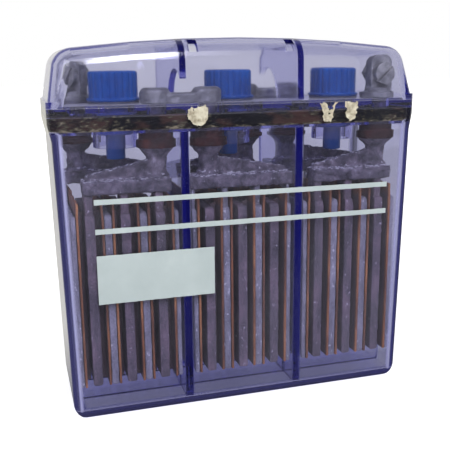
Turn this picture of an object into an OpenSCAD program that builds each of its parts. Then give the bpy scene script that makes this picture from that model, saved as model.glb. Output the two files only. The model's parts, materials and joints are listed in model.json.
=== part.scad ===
// Flat three-cell 6 V lead-acid battery in a clear jar, with a clear hood over the terminals.
// X is the long side, the front faces -Y, Z is up, and the origin is under the middle of the jar.

/* [Overall] */
// Width over the lid flange
case_w = 145; // [143:0.5:155]
// Depth over the lid flange
case_d = 50; // [49:0.5:60]
// Corner radius of the flange, the lip and the hood
case_r = 4; // [2:0.5:6]

/* [Jar] */
// Height of the jar to the top of its lip
jar_h = 117.2; // [114:0.2:135]
// How far the ends stand in from the lip at the top
rim_in_w = 1.1; // [0.9:0.1:1.8]
// How far the front and back stand in from the lip at the top
rim_in_d = 0.7; // [0.5:0.1:1.4]
// How much further the ends stand in at the foot
taper_w = 2.2; // [0:0.1:3]
// How much further the front and back stand in at the foot
taper_d = 1; // [0:0.1:1.5]
// Thickness of the outer walls
jar_wall = 1.9; // [1.6:0.05:1.95]
// Thickness of the floor
jar_floor = 3.5; // [2:0.1:6]
// Radius of the upright corners
jar_corner_r = 2.5; // [1:0.5:6]
// Radius of the edge round the base
jar_foot_r = 4; // [1.5:0.5:4.5]
// Height of the straight part of the lip
lip_h = 2.5; // [1.5:0.1:4]
// Height over which the wall flares out to the lip
lip_flare = 6.2; // [4:0.2:10]
// Thickness of the lip
lip_wall = 2.2; // [1.6:0.1:2.6]
// Depth of the tray above the partitions that takes the lid
tray_depth = 6.4; // [5.5:0.1:9]
// Depth of the groove that takes the sealing compound
groove_depth = 5.2; // [3:0.1:5.4]

/* [Partitions and ribs] */
// How much narrower an end cell is than the middle one
end_cell_less = 0.3; // [0:0.1:1]
// Thickness of a partition at its foot
partition_foot_t = 2.8; // [1.8:0.1:2.9]
// Thickness of a partition at its top
partition_top_t = 2.6; // [1.6:0.1:2.8]
// Height of the ribs that the plates stand on
saddle_h = 9.8; // [6:0.2:14]
// Thickness of those ribs
saddle_t = 2.4; // [1.6:0.2:4]
// Distance of those ribs from the middle
saddle_y = 9; // [5:0.5:14]

/* [Plates] */
// Gap between a stack of plates and the walls of its cell
stack_gap = 0.1; // [0.05:0.05:0.3]
// Thickness of a negative plate between two positive ones
negative_t = 3; // [2.4:0.1:3.1]
// Thickness of the negative plate at each end of a cell
end_negative_t = 1.9; // [1.4:0.1:2.9]
// Thickness of a positive plate
positive_t = 3.9; // [3:0.1:4.3]
// Radius of a plate's top corners
plate_r = 2; // [0.5:0.5:4]
// Width of a lug
lug_w = 8; // [5:0.5:9]
// Thickness of a separator sheet
separator_t = 0.8; // [0.5:0.05:1]
// How far a separator stands above the plates
separator_over = 5.6; // [2:0.2:6.5]
// How far a separator stands past the sides of the plates
separator_side = 0.3; // [0:0.1:0.4]
// Gap between a separator and the front and back of its cell
separator_gap = 0.3; // [0.2:0.1:1]
// Width of the ribs on a separator
separator_rib_w = 1.2; // [0.6:0.1:2]
// Number of ribs on a separator
separator_ribs = 5; // [3:1:7]
// Distance of a separator's outer ribs from the sides of the plates
separator_rib_in = 8; // [2:0.5:12]

/* [Straps and posts] */
// Gap between the tops of the plates and the strap
strap_gap = 7.4; // [6.8:0.2:9]
// Height of a strap
strap_h = 5; // [3:0.5:6]
// Depth of a strap
strap_d = 10; // [8:0.5:11]
// Distance of a strap's middle line from the front or back of the case
strap_in = 9.6; // [9.2:0.1:11]
// Distance of a post from the front or back of the case
post_in_y = 11.4; // [11:0.1:12.2]
// Distance of an end post from the end of the case
post_in_x = 12.3; // [11.5:0.1:13.5]
// Distance of an end cell's inner post from the partition
post_past = 9.2; // [9.2:0.1:10.4]
// Distance of the middle cell's posts from the partitions
post_before = 11; // [9.5:0.1:12]
// Free length of a post between its strap and its collar
post_free = 7.7; // [6:0.1:12]
// Radius of a post
post_r = 3.7; // [3:0.1:4]
// Height of the cone under a post's collar
collar_cone_h = 3.6; // [2:0.2:4.6]
// Radius of a post's collar
collar_r = 6.8; // [6:0.1:7]
// Thickness of the web from the strap up to the post
web_t = 3.2; // [2:0.2:5]

/* [Post seals] */
// Radius of the flange of a post seal
seal_r = 7.6; // [7.1:0.1:7.7]
// Thickness of that flange
seal_flange_h = 3.6; // [2:0.2:4.4]
// Radius of the hub of a post seal
seal_hub_r = 6.6; // [5.4:0.1:6.8]
// How far the hub reaches into the lid
seal_hub_in = 2.4; // [1:0.2:4]
// Height of the hub that shows under the lid
seal_hub_out = 2.6; // [0.6:0.2:3]

/* [Lid] */
// Thickness of the flange on the jar's lip
flange_t = 3; // [2:0.1:4]
// Height of the raised middle of the lid
platform_h = 0.8; // [0.4:0.1:1.5]
// Thickness of the lid's deck
deck_t = 2.8; // [2:0.1:3.4]
// Width of the compound groove along the front and back
groove_w = 4; // [2.5:0.1:4.6]
// Radius of the boss round a post
boss_r = 8.4; // [8:0.1:9]
// Thickness of the lid's inner walls
lid_wall = 2; // [1.4:0.1:2.6]
// Depth of the filler necks below the deck's top
neck_depth = 17; // [14:0.5:20]
// Wall of a filler neck
neck_wall = 1.6; // [1:0.1:2]

/* [Vent plugs] */
// How far the plugs stand forward of the middle
plug_forward = 2; // [0:0.5:3]
// Radius of the fluted cap
cap_r = 9.4; // [8.5:0.1:10.2]
// Height of the cap above its base ring
cap_h = 10; // [7:0.5:11]
// Number of flutes
flutes = 20; // [12:1:28]
// Radius of the base ring under the flutes
cap_ring_r = 10.3; // [9.6:0.1:10.6]
// Height of the base ring
cap_ring_h = 1; // [0.6:0.1:1.6]
// Radius of the threaded shank
shank_r = 6.95; // [6:0.05:7.2]
// Length of the threaded shank
shank_l = 12; // [8:0.5:14]
// Radius of the stem below the shank
stem_r = 3.7; // [2.6:0.1:5]
// Length of the stem below the shank
stem_l = 10.5; // [6:0.5:11]
// Radius of the gas passage through the plug
gas_r = 1; // [0.6:0.1:1.6]
// Thickness of the rubber ring under the cap
ring_t = 0.8; // [0.5:0.1:1.4]

/* [Connectors and terminals] */
// Height of a connector bar
bar_h = 3.6; // [2.5:0.1:4.5]
// Half width of a connector bar
bar_r = 4.2; // [4:0.1:5]
// Gap between the middle plug and the burned heads over the posts
head_gap = 0.8; // [0.4:0.1:1.4]
// Height of those heads
head_h = 5.6; // [5:0.1:7]
// How deep the posts stand in connectors and terminals
post_in = 3.4; // [2:0.1:3.6]
// Width of a terminal tab
tab_w = 9.4; // [8:0.2:10.4]
// Thickness of a terminal tab
tab_t = 5.4; // [4:0.2:6.4]
// How far a tab stands to the right of its post
tab_shift = 0.8; // [-1:0.1:1]
// Turn of the left terminal towards the left
tab_turn = 40; // [0:5:90]
// Height of a terminal above the lid
tab_h = 17.2; // [16:0.2:17.6]
// Radius of the tab's top corners
tab_r = 3.6; // [1:0.2:4]
// Height of the screw above the lid
screw_z = 9.7; // [8.8:0.1:10.4]
// Gap between a terminal's round foot and the plug beside it
foot_gap = 1.2; // [0.8:0.1:2.4]
// Height of that foot
foot_h = 4; // [3:0.1:5]
// Radius of the M5 screw
screw_r = 2.45; // [2:0.05:2.5]
// Radius of the screw's cheese head
screw_head_r = 4.25; // [3.6:0.05:4.6]
// Height of the screw's head
screw_head_h = 3.1; // [2.2:0.1:3.6]
// Width of the slot in the head
slot_w = 1.2; // [0.8:0.1:1.6]
// Depth of the slot in the head
slot_d = 1.6; // [1:0.1:2]
// Turn of the slot away from level
slot_turn = 45; // [0:5:90]
// Width of the nut across its flats
nut_flats = 8; // [7.5:0.5:9]
// Thickness of the nut
nut_t = 3.6; // [2.6:0.1:4]
// Length of the screw past the nut
screw_past = 0.6; // [0:0.2:1.2]

/* [Hood] */
// Room between the tops of the terminals and the inside of the hood's middle
hood_over = 4.6; // [4:0.2:12]
// How much lower the top is where the ends turn down
hood_arch = 3.4; // [1:0.2:3.6]
// Height of the hood's foot rim
rim_h = 2.4; // [1.5:0.1:3]
// How far the foot rim stands out from the wall
rim_step = 0.4; // [0.2:0.1:0.8]
// How far the ends lean in
end_lean = 2.4; // [0.5:0.1:2.4]
// How far the front and back lean in
side_lean = 0.5; // [0.2:0.1:1.4]
// Radius of the edges round the top
hood_r = 8; // [6:0.5:9]
// Thickness of the hood's wall
hood_wall = 2; // [1.4:0.1:2]
// Thickness of the two inner ribs
hood_rib_t = 2.4; // [1.6:0.1:3]
// How far the ribs stand outside the partitions
hood_rib_out = 0.2; // [-0.4:0.1:0.4]
// Radius of the arch in each rib
arch_r = 12.5; // [10:0.5:13]
// Width of the two gas slots
vent_w = 3.4; // [2:0.2:5]
// Height of the two gas slots
vent_h = 4.4; // [3:0.2:6]
// Distance of the gas slots from the ribs
vent_in = 4.2; // [3.8:0.2:9]

/* [Clearances] */
// Gap between fixed parts that slip into each other
slip = 0.1; // [0.05:0.01:0.15]
// Running gap round the plugs and the screws
running = 0.05; // [0.02:0.01:0.09]
// Gap between the hood and the lid's raised middle
hood_gap = 0.3; // [0.2:0.05:0.5]

/* [Hidden] */
$fn = 48;
skin = 0.01;

// height of the hood above the lid's flange, at its middle
hood_h = platform_h + tab_h + hood_over + hood_wall;

// outer sizes of the jar under its lip and at its foot
jar_rim_w = case_w - 2 * rim_in_w;
jar_rim_d = case_d - 2 * rim_in_d;
jar_foot_w = jar_rim_w - 2 * taper_w;
jar_foot_d = jar_rim_d - 2 * taper_d;

// heights of the main levels
flange_top = jar_h + flange_t;
deck_top = flange_top + platform_h;
deck_under = deck_top - deck_t;
partition_top = jar_h - tray_depth;
ledge_z = jar_h - groove_depth;
plate_foot_z = jar_floor + saddle_h;
seal_hub_top = partition_top + seal_hub_in;
seal_top = partition_top - seal_hub_out;
seal_z = seal_top - seal_flange_h;
collar_z = seal_z - collar_cone_h;
strap_z = collar_z - post_free - strap_h;
plate_top = strap_z - strap_gap;
plate_h = plate_top - plate_foot_z;
hood_top = flange_top + hood_h;

// outer half sizes of the tapered jar at a height
function jar_half_w(z) = (jar_foot_w + (jar_rim_w - jar_foot_w) * z / jar_h) / 2;
function jar_half_d(z) = (jar_foot_d + (jar_rim_d - jar_foot_d) * z / jar_h) / 2;
function partition_t(z) = partition_foot_t + (partition_top_t - partition_foot_t) * z / partition_top;

// tray and groove outlines
tray_w = 2 * (jar_half_w(partition_top) - jar_wall);
tray_d = 2 * (jar_half_d(partition_top) - jar_wall);
recess_w = case_w - 2 * lip_wall;
recess_d = case_d - 2 * lip_wall;
core_w = recess_w - 2 * groove_w;
core_d = recess_d - 2 * groove_w;
tray_r = 2.5;
core_r = 6;

// the partitions leave three cells, and seven plates fill the narrower ones from wall to wall
partition_x = (jar_foot_w / 2 - jar_wall + partition_foot_t / 2 + end_cell_less) / 3;
end_cell_out = jar_half_w(plate_foot_z) - jar_wall;
end_cell_in = partition_x + partition_t(plate_foot_z) / 2;
middle_cell_w = 2 * partition_x - partition_t(plate_foot_z);
plate_pitch = (min(end_cell_out - end_cell_in, middle_cell_w) - 2 * stack_gap - negative_t) / 6;
plate_w = 2 * (jar_half_d(plate_foot_z) - jar_wall - separator_gap - separator_side);

// cells from left to right: middle of the plates, then the posts of each cell
end_cell_x = (end_cell_out + end_cell_in) / 2;
cell_x = [-end_cell_x, 0, end_cell_x];
strap_y = case_d / 2 - strap_in;
post_y = case_d / 2 - post_in_y;
end_post_x = case_w / 2 - post_in_x;
inner_post_x = partition_x + post_past;
middle_post_x = partition_x - post_before;
positive_post = [[-inner_post_x, -post_y], [middle_post_x, post_y], [end_post_x, -post_y]];
negative_post = [[-end_post_x, post_y], [-middle_post_x, -post_y], [inner_post_x, post_y]];
posts = concat(positive_post, negative_post);
plug_x = [-2 * partition_x, 0, 2 * partition_x];
plug_y = -plug_forward;
head_r = norm([middle_post_x, post_y + plug_y]) - cap_ring_r - head_gap;
foot_r = norm([end_post_x - plug_x[2], post_y + plug_y]) - cap_ring_r - foot_gap;
hood_rib_x = partition_x + hood_rib_out;
vent_x = hood_rib_x - vent_in;

// tops of the terminals, and the tabs' middles
screw_axis_z = deck_top + screw_z;
positive_tab = positive_post[2];
negative_tab = negative_post[0];

/* 2D outlines */
module rounded_rect(w, d, r) {
  square([w - 2 * r, d], center = true);
  square([w, d - 2 * r], center = true);
  for (x = [-1, 1], y = [-1, 1])
    translate([x * (w / 2 - r), y * (d / 2 - r)]) circle(r);
}

module slab(w, d, r, z0, z1) {
  translate([0, 0, z0]) linear_extrude(z1 - z0) rounded_rect(w, d, r);
}

/* Jar */
module jar_outside() {
  steps = 4;
  hull() {
    for (i = [0:steps], x = [-1, 1], y = [-1, 1]) {
      a = 90 * i / steps;
      z = jar_foot_r * (1 - cos(a));
      inset = jar_foot_r * (1 - sin(a));
      r = max(0.5, jar_corner_r - inset);
      translate([x * (jar_half_w(0) - inset - r), y * (jar_half_d(0) - inset - r), z])
        cylinder(r = r, h = skin, $fn = 32);
    }
    slab(jar_rim_w, jar_rim_d, jar_corner_r, jar_h - skin, jar_h);
  }
}

module jar_lip() {
  top = jar_h - lip_h;
  low = top - lip_flare;
  hull() {
    slab(case_w, case_d, case_r, top, jar_h);
    slab(2 * jar_half_w(low), 2 * jar_half_d(low), jar_corner_r, low, low + skin);
  }
}

// one cell's hollow, between two x values at its floor and two at its top
module cell_hollow(foot_x0, foot_x1, top_x0, top_x1) {
  r = 0.6;
  foot_d = 2 * (jar_half_d(jar_floor) - jar_wall);
  hull() {
    translate([(foot_x0 + foot_x1) / 2, 0, 0])
      slab(foot_x1 - foot_x0, foot_d, r, jar_floor, jar_floor + skin);
    translate([(top_x0 + top_x1) / 2, 0, 0])
      slab(top_x1 - top_x0, tray_d, r, partition_top, partition_top + skin);
  }
}

module saddles(x0, x1) {
  for (y = [-saddle_y, saddle_y])
    translate([x0, y - saddle_t / 2, jar_floor - skin])
      cube([x1 - x0, saddle_t, saddle_h + skin]);
}

module jar() {
  foot_out = jar_half_w(jar_floor) - jar_wall;
  foot_in = partition_x + partition_t(jar_floor) / 2;
  top_in = partition_x + partition_t(partition_top) / 2;
  foot_mid = partition_x - partition_t(jar_floor) / 2;
  top_mid = partition_x - partition_t(partition_top) / 2;
  color([0.55, 0.55, 0.78, 0.45]) {
    difference() {
      union() {
        jar_outside();
        jar_lip();
      }
      cell_hollow(-foot_out, -foot_in, -tray_w / 2, -top_in);
      cell_hollow(-foot_mid, foot_mid, -top_mid, top_mid);
      cell_hollow(foot_in, foot_out, top_in, tray_w / 2);
      slab(tray_w, tray_d, tray_r, partition_top, ledge_z + skin);
      slab(recess_w, recess_d, case_r, ledge_z, jar_h + 1);
    }
    saddles(-foot_out - skin, -foot_in + skin);
    saddles(-foot_mid - skin, foot_mid + skin);
    saddles(foot_in - skin, foot_out + skin);
  }
}

/* Lid */
module lid_core() {
  slab(core_w, core_d, core_r, ledge_z - skin, jar_h + skin);
}

module lid_bosses() {
  intersection() {
    slab(tray_w - 2 * slip, tray_d - 2 * slip, tray_r, partition_top, deck_under + skin);
    for (p = posts)
      translate([p[0], p[1], partition_top])
        cylinder(r = boss_r, h = deck_under + skin - partition_top);
  }
}

module lid_pockets() {
  w_end = core_w / 2 - lid_wall - partition_x - lid_wall;
  w_mid = 2 * (partition_x - lid_wall);
  x_end = partition_x + lid_wall + w_end / 2;
  for (p = [[-x_end, w_end], [0, w_mid], [x_end, w_end]])
    translate([p[0], 0, 0])
      slab(p[1], core_d - 2 * lid_wall, core_r - lid_wall, partition_top - 1, deck_under);
}

module cell_lid() {
  platform_w = case_w - 2 * (rim_step + hood_wall + hood_gap);
  platform_d = case_d - 2 * (rim_step + hood_wall + hood_gap);
  color([0.5, 0.5, 0.75, 0.5])
    difference() {
      union() {
        difference() {
          union() {
            slab(case_w, case_d, case_r, jar_h, flange_top);
            slab(platform_w, platform_d, case_r, flange_top - skin, deck_top);
            lid_core();
            slab(tray_w - 2 * slip, tray_d - 2 * slip, tray_r, partition_top, ledge_z);
          }
          lid_pockets();
        }
        lid_bosses();
        for (x = plug_x)
          translate([x, plug_y, deck_top - neck_depth])
            cylinder(r = shank_r + running + neck_wall, h = neck_depth - skin);
      }
      for (p = posts) {
        translate([p[0], p[1], partition_top - 1])
          cylinder(r = seal_hub_r + slip, h = seal_hub_in + 1);
        translate([p[0], p[1], partition_top - 1])
          cylinder(r = post_r + slip, h = deck_top - partition_top + 2);
      }
      for (x = plug_x)
        translate([x, plug_y, deck_top - neck_depth - 1])
          cylinder(r = shank_r + running, h = neck_depth + 2);
    }
}

module sealing_compound() {
  color([0.12, 0.12, 0.1])
    difference() {
      slab(recess_w, recess_d, case_r, ledge_z, jar_h);
      translate([0, 0, -1]) lid_core();
      lid_core();
      lid_bosses();
    }
}

/* Plates and separators */
// outline of a plate seen from its side, with a lug at +1 (rear) or -1 (front)
module plate_outline(lug_side) {
  w = plate_w / 2;
  translate([-w, 0]) square([plate_w, plate_h - plate_r]);
  translate([-w + plate_r, 0]) square([plate_w - 2 * plate_r, plate_h]);
  for (s = [-1, 1])
    translate([s * (w - plate_r), plate_h - plate_r]) circle(plate_r, $fn = 24);
  translate([lug_side * strap_y - lug_w / 2, plate_h - plate_r])
    square([lug_w, strap_gap + plate_r]);
}

module plate(x, thick, lug_side) {
  translate([x - thick / 2, 0, plate_foot_z])
    rotate([90, 0, 90]) linear_extrude(thick) plate_outline(lug_side);
}

module positive_plates(i) {
  color([0.27, 0.2, 0.22])
    for (k = [-2, 0, 2]) plate(cell_x[i] + k * plate_pitch, positive_t, sign(positive_post[i][1]));
}

module negative_plates(i) {
  color([0.5, 0.5, 0.58])
    for (k = [-3, -1, 1, 3]) {
      end = abs(k) == 3;
      shift = end ? sign(k) * (negative_t - end_negative_t) / 2 : 0;
      plate(cell_x[i] + k * plate_pitch - shift, end ? end_negative_t : negative_t, sign(negative_post[i][1]));
    }
}

// a thin sheet against a negative plate, ribbed towards the positive one (side is +1 or -1)
module separator(x, side) {
  w = plate_w + 2 * separator_side;
  h = plate_h + separator_over;
  web_x = x + side * (negative_t / 2 + slip + separator_t / 2);
  rib = plate_pitch - negative_t / 2 - positive_t / 2 - separator_t - 2 * slip;
  translate([web_x - separator_t / 2, -w / 2, plate_foot_z]) cube([separator_t, w, h]);
  for (k = [0:separator_ribs - 1]) {
    y = (k / (separator_ribs - 1) - 0.5) * (plate_w - 2 * separator_rib_in);
    rib_x = web_x + side * (separator_t / 2 + rib / 2 - skin / 2);
    translate([rib_x - (rib + skin) / 2, y - separator_rib_w / 2, plate_foot_z])
      cube([rib + skin, separator_rib_w, plate_h]);
  }
}

module separators(i) {
  color([0.62, 0.36, 0.2])
    for (k = [-3, -1, 1, 3], side = [-1, 1])
      if (abs(k + side) < 4) separator(cell_x[i] + k * plate_pitch, side);
}

/* Straps with their posts */
// the strap joins the lugs and reaches past the post, and a web climbs from its far end to the post
module strap(i, post, plates, thick) {
  side = sign(post[1]);
  toward = sign(post[0] - cell_x[i]);
  half = (plates - 1) * plate_pitch + thick / 2;
  far = cell_x[i] - toward * half;
  near = toward * max(toward * (cell_x[i] + toward * half), toward * post[0] + post_r + 0.8);
  web_end = far + toward * 1.5;
  bar_top = strap_z + strap_h;
  color([0.42, 0.4, 0.47]) {
    translate([(far + near) / 2, side * strap_y, strap_z])
      linear_extrude(strap_h) rounded_rect(abs(near - far), strap_d, 1.2);
    translate([0, side * post_y + web_t / 2, 0])
      rotate([90, 0, 0]) linear_extrude(web_t)
        polygon([
          [web_end, bar_top - skin], [web_end, bar_top + 1.5],
          [post[0], collar_z - 0.2], [post[0], bar_top - skin]
        ]);
    translate([post[0], post[1], strap_z + skin])
      cylinder(r = post_r, h = deck_top + post_in - strap_z - skin);
    translate([post[0], post[1], bar_top - skin]) cylinder(r = post_r + 0.8, h = 1.2);
    translate([post[0], post[1], collar_z]) cylinder(r1 = post_r, r2 = collar_r, h = collar_cone_h);
  }
}

module positive_strap(i) { strap(i, positive_post[i], 3, positive_t); }
module negative_strap(i) { strap(i, negative_post[i], 4, negative_t); }

module post_seal(post) {
  color([0.3, 0.16, 0.14])
    translate([post[0], post[1], 0])
      difference() {
        union() {
          translate([0, 0, seal_z]) cylinder(r = seal_r, h = seal_flange_h);
          translate([0, 0, seal_z]) cylinder(r = seal_hub_r, h = seal_hub_top - seal_z);
        }
        translate([0, 0, seal_z - 1]) cylinder(r = post_r + slip, h = seal_hub_top - seal_z + 2);
      }
}

/* Connectors and terminals */
// lead head burned over a post: a short drum with a rounded top
module burned_head() {
  edge = 1.8;
  flat = head_r - edge;
  rotate_extrude()
    union() {
      square([head_r, head_h - edge]);
      square([flat, head_h]);
      translate([flat, head_h - edge]) intersection() {
        circle(edge);
        square(edge + 1);
      }
    }
}

module cell_connector(a, b) {
  color([0.52, 0.53, 0.56])
    difference() {
      union() {
        translate([(a[0] + b[0]) / 2, a[1], deck_top])
          linear_extrude(bar_h) square([abs(a[0] - b[0]), 2 * bar_r], center = true);
        for (p = [a, b]) translate([p[0], p[1], deck_top]) burned_head();
      }
      for (p = [a, b])
        translate([p[0], p[1], deck_top - 1]) cylinder(r = post_r + slip / 2, h = post_in + 1);
    }
}

module terminal(at) {
  flare = foot_h * 0.45;
  color([0.42, 0.42, 0.45])
    translate([at[0], at[1], deck_top])
      difference() {
        union() {
          cylinder(r = foot_r, h = foot_h - flare);
          translate([0, 0, foot_h - flare - skin]) cylinder(r = (foot_r + tab_t / 2) / 2, h = flare + skin);
          place_tab(at) translate([0, tab_t / 2, 0]) rotate([90, 0, 0]) linear_extrude(tab_t) {
            translate([-tab_w / 2, 1]) square([tab_w, tab_h - tab_r - 1]);
            translate([-tab_w / 2 + tab_r, 1]) square([tab_w - 2 * tab_r, tab_h - 1]);
            for (s = [-1, 1]) translate([s * (tab_w / 2 - tab_r), tab_h - tab_r]) circle(tab_r);
          }
        }
        translate([0, 0, -1]) cylinder(r = post_r + slip / 2, h = post_in + 1);
        place_tab(at) translate([0, tab_t, screw_z]) rotate([90, 0, 0])
          cylinder(r = screw_r + running, h = 2 * tab_t);
      }
}

// a tab stands a little to the right of its post, and the left one is turned about that place
module place_tab(at) {
  translate([tab_shift, 0, 0]) rotate([0, 0, at[0] < 0 ? -tab_turn : 0]) children();
}

// slotted cheese-head screw through the tab, its head to the tab's front
module terminal_screw(at) {
  y0 = -tab_t / 2;
  shank = tab_t + nut_t + screw_past;
  color([0.5, 0.5, 0.5])
    translate([at[0], at[1], screw_axis_z]) place_tab(at)
      difference() {
        union() {
          translate([0, y0, 0]) rotate([90, 0, 0]) cylinder(r = screw_head_r, h = screw_head_h);
          translate([0, y0 + shank, 0]) rotate([90, 0, 0]) cylinder(r = screw_r, h = shank + skin);
        }
        rotate([0, -slot_turn, 0])
          translate([-screw_head_r - 1, y0 - screw_head_h - 1, -slot_w / 2])
            cube([2 * screw_head_r + 2, slot_d + 1, slot_w]);
      }
}

module terminal_nut(at) {
  color([0.55, 0.55, 0.5])
    translate([at[0], at[1], screw_axis_z]) place_tab(at)
      translate([0, tab_t / 2 + nut_t, 0]) rotate([90, 0, 0])
        difference() {
          cylinder(r = nut_flats / sqrt(3), h = nut_t, $fn = 6);
          translate([0, 0, -1]) cylinder(r = screw_r + running, h = nut_t + 2);
        }
}

/* Vent plugs */
module vent_plug(i) {
  base_z = deck_top + ring_t;
  cap_z = base_z + cap_ring_h;
  crown = 0.8;
  flute_r = 0.55;
  stem_z = base_z - shank_l - stem_l;
  color([0.12, 0.28, 0.62])
    translate([plug_x[i], plug_y, 0])
      difference() {
        union() {
          translate([0, 0, base_z]) cylinder(r = cap_ring_r, h = cap_ring_h);
          translate([0, 0, cap_z - skin]) linear_extrude(cap_h - crown + skin)
            difference() {
              circle(cap_r, $fn = 96);
              for (k = [0:flutes - 1])
                rotate(360 * k / flutes) translate([cap_r + 0.15, 0]) circle(flute_r, $fn = 16);
            }
          translate([0, 0, cap_z]) cylinder(r = cap_r - 0.7, h = cap_h);
          translate([0, 0, base_z - shank_l]) cylinder(r = shank_r, h = shank_l + skin);
          translate([0, 0, stem_z]) cylinder(r = stem_r, h = stem_l + skin);
        }
        translate([0, 0, stem_z - 1]) cylinder(r = gas_r, h = cap_z + cap_h - stem_z + 2, $fn = 24);
        translate([0, 0, cap_z + cap_h - 1.2]) cylinder(r = cap_r * 0.62, h = 2);
      }
}

module vent_ring(i) {
  color([0.08, 0.08, 0.09])
    translate([plug_x[i], plug_y, deck_top])
      difference() {
        cylinder(r = cap_ring_r - 0.4, h = ring_t);
        translate([0, 0, -1]) cylinder(r = shank_r + running, h = ring_t + 2);
      }
}

/* Hood */
// the closed form of the hood: foot outline below, rounded and gently arched top above
module hood_form(inset, z0) {
  r = hood_r - inset;
  half_w = case_w / 2 - rim_step;
  half_d = case_d / 2 - rim_step;
  end_x = half_w - end_lean - hood_r;
  side_y = half_d - side_lean - hood_r;
  hull() {
    slab(2 * (half_w - inset), 2 * (half_d - inset), case_r - rim_step, z0, z0 + skin);
    for (k = [-3:3], y = [-side_y, side_y]) {
      x = end_x * k / 3;
      drop = hood_arch * k * k / 9;
      translate([x, y, hood_top - drop - hood_r]) sphere(r, $fn = 32);
    }
  }
}

module hood_ribs() {
  for (s = [-1, 1])
    difference() {
      translate([s * hood_rib_x - hood_rib_t / 2, -case_d / 2, deck_top + hood_gap])
        cube([hood_rib_t, case_d, hood_h]);
      translate([s * hood_rib_x - hood_rib_t, s * post_y, deck_top])
        rotate([0, 90, 0]) cylinder(r = arch_r, h = 2 * hood_rib_t);
    }
}

module terminal_hood() {
  color([0.75, 0.75, 0.88, 0.3])
    difference() {
      union() {
        slab(case_w, case_d, case_r, flange_top, flange_top + rim_h);
        hood_form(0, flange_top);
      }
      difference() {
        hood_form(hood_wall, flange_top - 1);
        hood_ribs();
      }
      for (s = [-1, 1])
        translate([s * vent_x - vent_w / 2, -case_d / 2, hood_top - vent_h - 1])
          cube([vent_w, hood_r, vent_h]);
    }
}

jar();
cell_lid();
sealing_compound();
terminal_hood();
positive_plates(0);  // positive_plates_left
positive_plates(1);  // positive_plates_middle
positive_plates(2);  // positive_plates_right
negative_plates(0);  // negative_plates_left
negative_plates(1);  // negative_plates_middle
negative_plates(2);  // negative_plates_right
separators(0);  // separators_left
separators(1);  // separators_middle
separators(2);  // separators_right
positive_strap(0);  // positive_strap_left
positive_strap(1);  // positive_strap_middle
positive_strap(2);  // positive_strap_right
negative_strap(0);  // negative_strap_left
negative_strap(1);  // negative_strap_middle
negative_strap(2);  // negative_strap_right
post_seal(positive_post[0]);  // positive_post_seal_left
post_seal(positive_post[1]);  // positive_post_seal_middle
post_seal(positive_post[2]);  // positive_post_seal_right
post_seal(negative_post[0]);  // negative_post_seal_left
post_seal(negative_post[1]);  // negative_post_seal_middle
post_seal(negative_post[2]);  // negative_post_seal_right
cell_connector(positive_post[0], negative_post[1]);  // cell_connector_front
cell_connector(positive_post[1], negative_post[2]);  // cell_connector_rear
terminal(positive_tab);  // terminal_positive
terminal(negative_tab);  // terminal_negative
terminal_screw(positive_tab);  // terminal_screw_positive
terminal_screw(negative_tab);  // terminal_screw_negative
terminal_nut(positive_tab);  // terminal_nut_positive
terminal_nut(negative_tab);  // terminal_nut_negative
vent_plug(0);  // vent_plug_left
vent_plug(1);  // vent_plug_middle
vent_plug(2);  // vent_plug_right
vent_ring(0);  // vent_ring_left
vent_ring(1);  // vent_ring_middle
vent_ring(2);  // vent_ring_right
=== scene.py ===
# Flat three-cell lead-acid battery: the clear shells, the lead and the plates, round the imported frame.
import json
import math
import bmesh
import bpy
import numpy as np
from mathutils import Matrix, Vector


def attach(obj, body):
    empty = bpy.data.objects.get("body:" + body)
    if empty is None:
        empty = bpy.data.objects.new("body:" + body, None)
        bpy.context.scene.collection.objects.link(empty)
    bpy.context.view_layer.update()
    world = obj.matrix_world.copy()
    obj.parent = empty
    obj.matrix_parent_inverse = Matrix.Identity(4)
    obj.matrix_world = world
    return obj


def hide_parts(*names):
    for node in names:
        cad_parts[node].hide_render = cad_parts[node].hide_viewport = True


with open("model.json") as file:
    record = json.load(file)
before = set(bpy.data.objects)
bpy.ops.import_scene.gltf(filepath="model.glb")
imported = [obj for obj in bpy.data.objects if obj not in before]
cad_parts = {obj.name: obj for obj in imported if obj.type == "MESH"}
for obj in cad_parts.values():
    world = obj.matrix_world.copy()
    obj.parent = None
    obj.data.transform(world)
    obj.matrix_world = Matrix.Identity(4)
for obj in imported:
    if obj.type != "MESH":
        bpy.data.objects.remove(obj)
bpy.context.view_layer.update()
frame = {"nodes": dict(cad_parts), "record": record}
nodes = frame["nodes"]
bodyOf = {node: body for body, names in frame["record"]["behaviour"]["bodies"].items() for node in names}
scene = bpy.context.scene
scene.view_settings.view_transform = "Standard"
mm = 0.001

# camera: its place and axes were solved from the jar's corners in the photograph
view = {
    "place": (-83.8, -280.9, 135.4),
    "right": (0.9584, -0.2852, -0.0114),
    "down": (-0.0751, -0.2134, -0.9741),
    "forward": (0.2754, 0.9344, -0.2259),
    "lens": 56.16,
    "clip": (0.01, 20),
}


def makeCamera():
    data = bpy.data.cameras.new("camera")
    data.lens = view["lens"]
    data.clip_start, data.clip_end = view["clip"]
    camera = bpy.data.objects.new("camera", data)
    axes = Matrix((view["right"], [-x for x in view["down"]], [-x for x in view["forward"]]))
    camera.matrix_world = Matrix.Translation(Vector(view["place"]) * mm) @ axes.transposed().to_4x4()
    scene.collection.objects.link(camera)
    scene.camera = camera


makeCamera()
print("camera placed")


# helpers for node materials
def newMaterial(name):
    material = bpy.data.materials.new(name)
    material.use_nodes = True
    tree = material.node_tree
    tree.nodes.clear()
    return material, tree, tree.nodes.new("ShaderNodeOutputMaterial")


def addNode(tree, kind, **settings):
    # a setting goes to the input socket of that name, or else to the node itself
    node = tree.nodes.new(kind)
    for key, value in settings.items():
        socket = next((s for s in node.inputs if s.name == key.replace("_", " ")), None)
        if socket is not None:
            join(tree, value, socket)
        else:
            setattr(node, key, value)
    return node


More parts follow.
